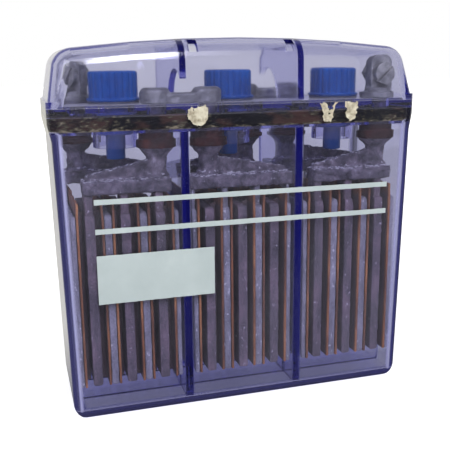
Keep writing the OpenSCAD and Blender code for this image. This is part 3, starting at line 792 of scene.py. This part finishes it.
# print on the front wall: two level lines and a bare panel, each by its left and right end, middle
# height and breadth; the edges wobble a little, as screen print does
printing = {
    "proud": 0.025,
    "cell": 0.5,
    "upper": (-57.8, 61.2, 86.3, 2.0),
    "lower": (-57.8, 61.2, 75.2, 2.0),
    "panel": (-57.8, -12.4, 56.5, 19.0),
    "wobble": 0.06,
}


def makePrint():
    # a grid per shape on the leaning front face: y = -(half depth + flare * height), and a hair in front
    parts = []
    for left, right, middle, height in (printing["upper"], printing["lower"], printing["panel"]):
        columns, rows = int((right - left) / printing["cell"]), max(4, int(height / printing["cell"]))
        v, u = onGrid(np.linspace(-0.5, 0.5, rows), np.linspace(0, 1, columns))
        x = left + (right - left) * u
        z = middle + height * v
        edge = np.stack([x.ravel(), z.ravel() * 3, np.zeros(x.size)], 1)
        z = z + (2 * v * printing["wobble"]) * lumps(edge, 3, 5).reshape(x.shape)
        front = -(wall["halfDeep"] + wall["flareDeep"] * z / wall["height"]) - printing["proud"]
        parts.append((np.stack([x, front, z], -1).reshape(-1, 3), [gridFaces(rows, columns, closed=False)]))
    mesh = storeMesh("levelPrint", *gather(parts), smooth=False)
    addPiece("levelPrint", mesh, printWhite, "case", "jar_clear")


makePrint()
print("print made")


# sealing compound, softened and grown a little into the plastic round it, and the lead that was cast and
# burned by hand: voxel size, smoothing passes, growth, height and size of the lumps, all in millimetres
soft = {
    "compound": {"cell": 0.55, "passes": 2, "grow": 0.16, "rough": 0.05, "size": 3.0},
    "strap": {"cell": 0.42, "passes": 3, "grow": 0.0, "rough": 0.3, "size": 3.5},
    "connector": {"cell": 0.4, "passes": 4, "grow": 0.0, "rough": 0.22, "size": 4.5},
    "terminal": {"cell": 0.36, "passes": 3, "grow": 0.0, "rough": 0.12, "size": 4.0},
    "seal": {"cell": 0.34, "passes": 1, "grow": 0.0, "rough": 0.1, "size": 5.0},
}


def softPiece(node, kind, material, slot, seed):
    mesh = softened(node, seed=seed, **soft[kind])
    addPiece(pieceName(node, "Cast"), mesh, material, bodyOf[node], slot, node)


addPiece("compoundRing", softened("sealing_compound", seed=3, **soft["compound"]),
         compoundDark, "case", "bitumen", "sealing_compound")
sides = ("left", "middle", "right")
poles = ("positive", "negative")
for place, side in enumerate(sides):
    for step, pole in enumerate(poles):
        softPiece(f"{pole}_strap_{side}", "strap", strapGrey, "strap_lead", 20 + 10 * step + place)
    for step, pole in enumerate(poles):
        softPiece(f"{pole}_post_seal_{side}", "seal", sealBrown, "seal_rubber", 40 + 10 * step + place)
for step, (node, kind) in enumerate((("cell_connector_front", "connector"), ("cell_connector_rear", "connector"),
                                     ("terminal_positive", "terminal"), ("terminal_negative", "terminal"))):
    softPiece(node, kind, leadGrey, "lead", 60 + step)
print("lead and seals made")


# plates: a frame with paste between its bars, rounded and eaten away along its edges. steps are the
# plates' places in a cell, counted in pitches; endRows are the rows' heights near the foot and top
plates = {
    "positive": {"thick": 3.9, "steps": (-2, 0, 2), "eaten": 0.5, "bars": 0.32},
    "negative": {"thick": 3.0, "steps": (-3, -1, 1, 3), "eaten": 0.3, "bars": 0.28},
    "endThick": 1.9,
    "pitch": 6.66028,
    "cells": (-45.9688, 0.0, 45.9688),
    "half": 20.9,
    "foot": 13.3,
    "top": 80.9,
    "shoulder": 2.0,
    "round": 0.75,
    "taper": 0.6,
    "endRows": (0.0, 0.25, 0.8),
    "columns": 34,
    "crowd": 0.8,
    "rows": 84,
    "barsUp": 9,
    "barsAcross": 15,
    "barPower": 0.35,
    "pitted": 0.12,
    "lugHalf": 4.0,
    "lugTop": 88.6,
    "lugAt": 15.4,
    "lugPower": 0.35,
    "lugRough": 0.22,
    "edgeInset": 0.35,
}


def plateBody(middle, kind, seed):
    # one closed loop of points per row, round the plate in X and Y, then up in Z. The half thickness is
    # thick / 2 less the round at the edges, the sunk paste, the pits and the taper at foot and top
    p = plates
    tall = p["top"] - p["foot"]
    z = p["foot"] + tall * np.linspace(0, 1, p["rows"])
    endRows = np.array(p["endRows"])
    z[:3], z[-3:] = p["foot"] + endRows, p["top"] - endRows[::-1]
    side = np.linspace(-1, 1, p["columns"])
    side = np.sign(side) * np.abs(side) ** p["crowd"]
    corner = np.linspace(0, math.pi / 2, 4)[1:-1]
    y = np.concatenate([-np.ones(2), side, np.ones(2)])
    level = np.concatenate([np.sin(corner), np.ones(len(side)), np.sin(corner[::-1])])
    x = kind["thick"] / 2 - p["round"] * (1 - level)
    bend = np.clip(z - (p["top"] - p["shoulder"]), 0, p["shoulder"])
    half = p["half"] - (p["shoulder"] - np.sqrt(np.maximum(p["shoulder"] ** 2 - bend ** 2, 0)))
    yy = y[None, :] * half[:, None]
    yy[:, 2] += p["round"] * p["edgeInset"]
    yy[:, -3] -= p["round"] * p["edgeInset"]
    zz = np.repeat(z[:, None], len(y), 1)
    # paste between the bars, fading out towards the plate's edges
    barUp = np.abs(np.sin(y * math.pi * p["barsUp"] / 2)) ** p["barPower"]
    barAcross = np.abs(np.sin((z - p["foot"]) / tall * math.pi * p["barsAcross"])) ** p["barPower"]
    sunk = barAcross[:, None] * barUp[None, :] * kind["bars"]
    sunk = sunk * np.clip((1 - np.abs(y)) * 20, 0, 1)[None, :] * np.clip((p["top"] - z) / 2, 0, 1)[:, None]
    ends = np.minimum(np.clip((z - p["foot"]) / endRows[2], 0, 1), np.clip((p["top"] - z) / endRows[2], 0, 1))
    taper = (1 - np.sqrt(np.clip(1 - (1 - ends) ** 2, 0, 1)))[:, None] * p["taper"]
    edge = (np.abs(y) > 0.995)[None, :] * kind["eaten"]
    loops = []
    for sign in (1, -1):
        spot = np.stack([np.full(zz.size, sign * 7.0 + middle), yy.ravel(), zz.ravel()], 1)
        uneven = (0.5 + 0.5 * lumps(spot, 5.0, seed + sign, 3)).reshape(zz.shape)
        eaten = edge * (0.5 + 0.5 * lumps(spot * [1, 1, 1.3], 4.0, seed + 9, 3)).reshape(zz.shape)
        depth = sunk * (0.55 + 0.45 * uneven) + p["pitted"] * uneven + taper
        wide = x[None, :] - depth - 0.3 * eaten
        loops.append(np.stack([middle + sign * wide, yy - np.sign(yy) * eaten, zz], -1))
    ring = np.concatenate([loops[0], loops[1][:, ::-1]], 1)
    rows, count = ring.shape[:2]
    return ring.reshape(-1, 3), [gridFaces(rows, count), foldedEnds(rows, count, len(y))]


def lugBody(middle, thick, side, seed):
    # a rounded upright bar from the plate to the strap: in plan x and y follow a cosine and a sine that
    # are raised to a power, and lumps eat into it
    angle = np.linspace(0, 2 * math.pi, 24, endpoint=False)
    across, along = [np.sign(wave) * np.abs(wave) ** plates["lugPower"] for wave in (np.cos(angle), np.sin(angle))]
    z, x = onGrid(np.linspace(plates["top"] - 2, plates["lugTop"], 14), middle + across * (thick / 2 - 0.15))
    y = np.broadcast_to(side * plates["lugAt"] + along * plates["lugHalf"], z.shape)
    points = np.stack([x, y, z], -1).reshape(-1, 3)
    rows, count = z.shape
    outward = np.stack([np.tile(np.cos(angle), rows), np.tile(np.sin(angle), rows), np.zeros(len(points))], 1)
    points = points - outward * (plates["lugRough"] * (0.5 + 0.5 * lumps(points, 3.0, seed, 2)))[:, None]
    around = np.arange(count)[None, :]
    return points, [gridFaces(rows, count), around[:, ::-1], around + count * (rows - 1)]


lugSides = {"positive": (-1, 1, -1), "negative": (1, -1, 1)}
finishes = {"positive": positiveBrown, "negative": negativeGrey}
for kind in poles:
    for place, side in enumerate(sides):
        parts = []
        for step in plates[kind]["steps"]:
            thick = plates["endThick"] if abs(step) == 3 else plates[kind]["thick"]
            inward = (plates[kind]["thick"] - thick) / 2 * np.sign(step)
            middle = plates["cells"][place] + step * plates["pitch"] - inward
            seed = 100 + 10 * place + step + (50 if kind == "positive" else 0)
            parts.append(plateBody(middle, {**plates[kind], "thick": thick}, seed))
            parts.append(lugBody(middle, thick, lugSides[kind][place], seed))
        mesh = storeMesh(kind + "Set" + side.capitalize(), *gather(parts))
        addPiece(mesh.name, mesh, finishes[kind], "case", kind + "_plate", f"{kind}_plates_{side}")
print("plates made")


# separators: a thin sheet with five rounded ribs towards the positive plate; above the plates it waves,
# and its top edge is ragged
separator = {
    "sheet": 0.8,
    "away": 0.1,
    "half": 21.2,
    "foot": 13.3,
    "plateTop": 80.9,
    "top": 86.5,
    "ribs": 5,
    "ribHalf": 0.6,
    "ribIn": 8.0,
    "rows": 40,
    "rowsAbove": 9,
    "columns": 91,
    "wave": 0.25,
    "ragged": 0.9,
    "raggedFrom": 1.5,
}


def separatorBody(plateX, side, seed):
    # one loop of points per row, out along the smooth side and back along the ribbed one. A rib's height
    # follows sqrt(1 - (distance / half width)^2) and fills the gap to the positive plate
    s = separator
    negative, positive = plates["negative"]["thick"] / 2, plates["positive"]["thick"] / 2
    gap = plates["pitch"] - negative - positive - s["sheet"] - 2 * s["away"]
    near = plateX + side * (negative + s["away"])
    middles = (np.arange(s["ribs"]) / (s["ribs"] - 1) - 0.5) * (plates["half"] * 2 - 2 * s["ribIn"])
    z = np.concatenate([np.linspace(s["foot"], s["plateTop"], s["rows"]),
                        np.linspace(s["plateTop"], s["top"], s["rowsAbove"])[1:]])
    zz, yy = onGrid(z, np.linspace(-s["half"], s["half"], s["columns"]))
    away = np.abs(yy[None] - middles[:, None, None]).min(0) / (s["ribHalf"] * 1.25)
    rib = np.where(zz > s["plateTop"] + 0.01, 0.0, np.sqrt(np.clip(1 - away ** 2, 0, 1)) * gap)
    spot = np.stack([np.full(zz.size, plateX), yy.ravel(), zz.ravel()], 1)
    wave = lumps(spot, 16.0, seed, 2).reshape(zz.shape) * s["wave"] * np.clip((zz - s["plateTop"] + 1) / 4, 0, 1)
    notch = np.clip((zz - s["top"] + s["raggedFrom"]) / s["raggedFrom"], 0, 1)
    zz = zz - s["ragged"] * notch * (0.5 + 0.5 * lumps(spot, 9.0, seed + 3, 3)).reshape(zz.shape)
    smooth = np.stack([near + wave, yy, zz], -1)
    ribbed = np.stack([near + side * (s["sheet"] + rib) + wave, yy, zz], -1)
    ring = np.concatenate([smooth, ribbed[:, ::-1]], 1)
    if side < 0:
        ring = ring[:, ::-1]
    rows, count = ring.shape[:2]
    return ring.reshape(-1, 3), [gridFaces(rows, count), foldedEnds(rows, count, s["columns"])]


for place, side in enumerate(sides):
    # a sheet on each side of a negative plate, but none outside the end plates
    parts = []
    for step in plates["negative"]["steps"]:
        for towards in (-1, 1):
            if abs(step + towards) < 4:
                middle = plates["cells"][place] + step * plates["pitch"]
                parts.append(separatorBody(middle, towards, 300 + 10 * place + 3 * step + towards))
    mesh = storeMesh("separatorSet" + side.capitalize(), *gather(parts))
    mesh.set_sharp_from_angle(angle=math.radians(50))
    addPiece(mesh.name, mesh, separatorOrange, "case", "separator", "separators_" + side)
print("separators made")


# vent plugs: round flutes that run out at a rounded top edge, a dished top, shank and stem. shank and
# stem give radius and length; gas is the radius of the hole right through
plug = {
    "places": ((-46.0, -2.0), (0.0, -2.0), (46.0, -2.0)),
    "foot": 121.8,
    "ringRadius": 10.3,
    "ringHeight": 1.0,
    "radius": 9.4,
    "height": 10.0,
    "flutes": 20,
    "fluteDepth": 0.62,
    "crown": 1.1,
    "dishRadius": 5.83,
    "dishDepth": 1.2,
    "shank": (6.95, 12.0),
    "stem": (3.7, 10.5),
    "gas": 1.0,
    "around": 240,
    "threadPitch": 3.0,
    "threadDepth": 0.32,
}


def plugBody(x, y):
    # a turned profile from the gas hole's foot out, up and back in, whose rows are radius, height and share
    # of the flutes. Around it the radius is less by flute depth * share * max(cos(flutes * angle), 0) ^ 1.3
    p = plug
    (shank, shankLong), (stem, stemLong) = p["shank"], p["stem"]
    middle = p["foot"] - shankLong
    low = middle - stemLong
    cap = p["foot"] + p["ringHeight"]
    top = cap + p["height"]
    dish, bottom = p["dishRadius"], top - p["dishDepth"]
    thread = np.linspace(middle + 0.8, p["foot"] - 1.2, 29)
    cut = p["threadDepth"] * (0.5 + 0.5 * np.cos(2 * math.pi * (thread - middle) / p["threadPitch"]))
    straight = np.linspace(cap + 1, top - p["crown"], 6)
    bend = np.linspace(0, math.pi / 2, 8)[1:]
    profile = np.vstack([
        [(p["gas"], low, 0), (stem - 0.5, low, 0), (stem - 0.12, low + 0.15, 0), (stem, low + 0.6, 0),
         (stem, middle - 0.2, 0), (stem + 0.2, middle, 0), (shank - 0.7, middle, 0),
         (shank - 0.25, middle + 0.4, 0)],
        np.stack([shank - cut, thread, 0 * thread], 1),
        [(shank, p["foot"] - 0.6, 0), (shank, p["foot"], 0), (p["ringRadius"] - 0.25, p["foot"], 0),
         (p["ringRadius"], p["foot"] + 0.25, 0), (p["ringRadius"], cap - 0.3, 0),
         (p["ringRadius"] - 0.25, cap - 0.05, 0), (p["radius"] + 0.05, cap, 0.2), (p["radius"], cap + 0.15, 1)],
        np.stack([0 * straight + p["radius"], straight, 0 * straight + 1], 1),
        np.stack([p["radius"] - p["crown"] * (1 - np.cos(bend)), top - p["crown"] * (1 - np.sin(bend)),
                  np.cos(bend) ** 1.5], 1),
        [(dish + 0.4, top, 0), (dish + 0.1, top - 0.12, 0), (dish - 0.1, bottom + 0.3, 0), (dish - 0.5, bottom, 0),
         (p["gas"] + 0.2, bottom, 0), (p["gas"], bottom - 0.2, 0)],
    ])
    angle = np.linspace(0, 2 * math.pi, p["around"], endpoint=False)
    groove = np.clip(np.cos(angle * p["flutes"]), 0, 1) ** 1.3
    radius = profile[:, 0][:, None] - p["fluteDepth"] * profile[:, 2][:, None] * groove[None, :]
    height = np.repeat(profile[:, 1][:, None], len(angle), 1)
    ring = np.stack([x + radius * np.cos(angle), y + radius * np.sin(angle), height], -1)
    # the last row is joined to the first one through the gas hole
    rows, count = height.shape
    i = np.arange(count)
    j = (i + 1) % count
    last = (rows - 1) * count
    return ring.reshape(-1, 3), [gridFaces(rows, count), np.stack([last + i, last + j, j, i], 1)]


for place, side in enumerate(sides):
    mesh = storeMesh("ventPlug" + side.capitalize() + "Moulded", *plugBody(*plug["places"][place]))
    mesh.set_sharp_from_angle(angle=math.radians(60))
    addPiece(mesh.name, mesh, capBlue, bodyOf["vent_plug_" + side], "plug_blue", "vent_plug_" + side)


# small turned pieces: CAD copies with a round on their edges
small = {"edge": 0.18, "steps": 3, "angle": 0.5}


def roundedCopy(node, material, slot):
    mesh = evaluated(mergedCopy(node), roundEdges(small))
    smoothAll(mesh)
    mesh.set_sharp_from_angle(angle=math.radians(40))
    addPiece(pieceName(node, "Turned"), mesh, material, bodyOf[node], slot, node)


for pole in poles:
    roundedCopy("terminal_screw_" + pole, screwGrey, "screw_steel")
    roundedCopy("terminal_nut_" + pole, nutGrey, "nut_steel")
for side in sides:
    roundedCopy("vent_ring_" + side, ringDark, "ring_rubber")
print("plugs and small pieces made")


# cream remains of a torn paper seal on the outside of the band: thin sheets with ragged edges, each given
# by its left and right edge at some heights, and a notch in its top by its middle, half width and depth
residue = {
    "patches": [
        {"rows": ((112.9, -18.6, -16.6), (113.7, -20.4, -15.4), (115.2, -21.6, -14.5), (117.2, -22.2, -14.0),
                  (119.0, -21.6, -14.3), (120.2, -20.6, -15.2)),
         "notch": (-19.4, 0.9, 1.5)},
        {"rows": ((112.5, 32.4, 35.0), (114.4, 31.9, 36.0), (116.4, 31.9, 36.5), (118.4, 31.0, 37.2),
                  (119.9, 30.4, 37.9)),
         "notch": (34.9, 1.1, 3.4)},
        {"rows": ((112.9, 43.2, 45.4), (113.8, 41.9, 46.1), (115.8, 41.4, 46.2), (117.3, 42.0, 46.6),
                  (118.6, 41.0, 46.4), (120.2, 41.2, 46.9)),
         "notch": (45.0, 0.6, 0.5)},
    ],
    "front": 25.0,
    "thick": 0.02,
    "ragged": 0.5,
    "raggedSize": 1.9,
    "cell": 0.13,
}


def residueBody(patch):
    # a grid whose quads stay where the distance in from the patch's edges, less a ragged amount, is above 0
    cell = residue["cell"]
    heights, lefts, rights = np.array(patch["rows"]).T
    low, high = heights[0], heights[-1]
    z, x = onGrid(np.arange(low - 1, high + 1, cell), np.arange(lefts.min() - 1, rights.max() + 1, cell))
    middle, half, deep = patch["notch"]
    inside = np.minimum.reduce([
        x - np.interp(z, heights, lefts), np.interp(z, heights, rights) - x, z - low, high - z,
        np.hypot((x - middle) / half, (z - high) / deep) - 1])
    spot = np.stack([x.ravel(), z.ravel(), np.full(x.size, low * lefts[0])], 1)
    inside = inside - residue["ragged"] * lumps(spot, residue["raggedSize"], 7, 4).reshape(x.shape)
    y = -residue["front"] - np.clip(inside, 0, 1) * residue["thick"]
    quads = gridFaces(*x.shape, closed=False)
    return np.stack([x, y, z], -1).reshape(-1, 3), [quads[(inside > 0).ravel()[quads].all(axis=1)]]


def makeResidue():
    mesh = storeMesh("sealResidue", *gather([residueBody(patch) for patch in residue["patches"]]))
    edit(mesh, lambda work: bmesh.ops.delete(
        work, geom=[v for v in work.verts if not v.link_faces], context="VERTS"))
    addPiece("sealResidue", mesh, residueCream, "case", "bitumen")


makeResidue()
print("residue made")
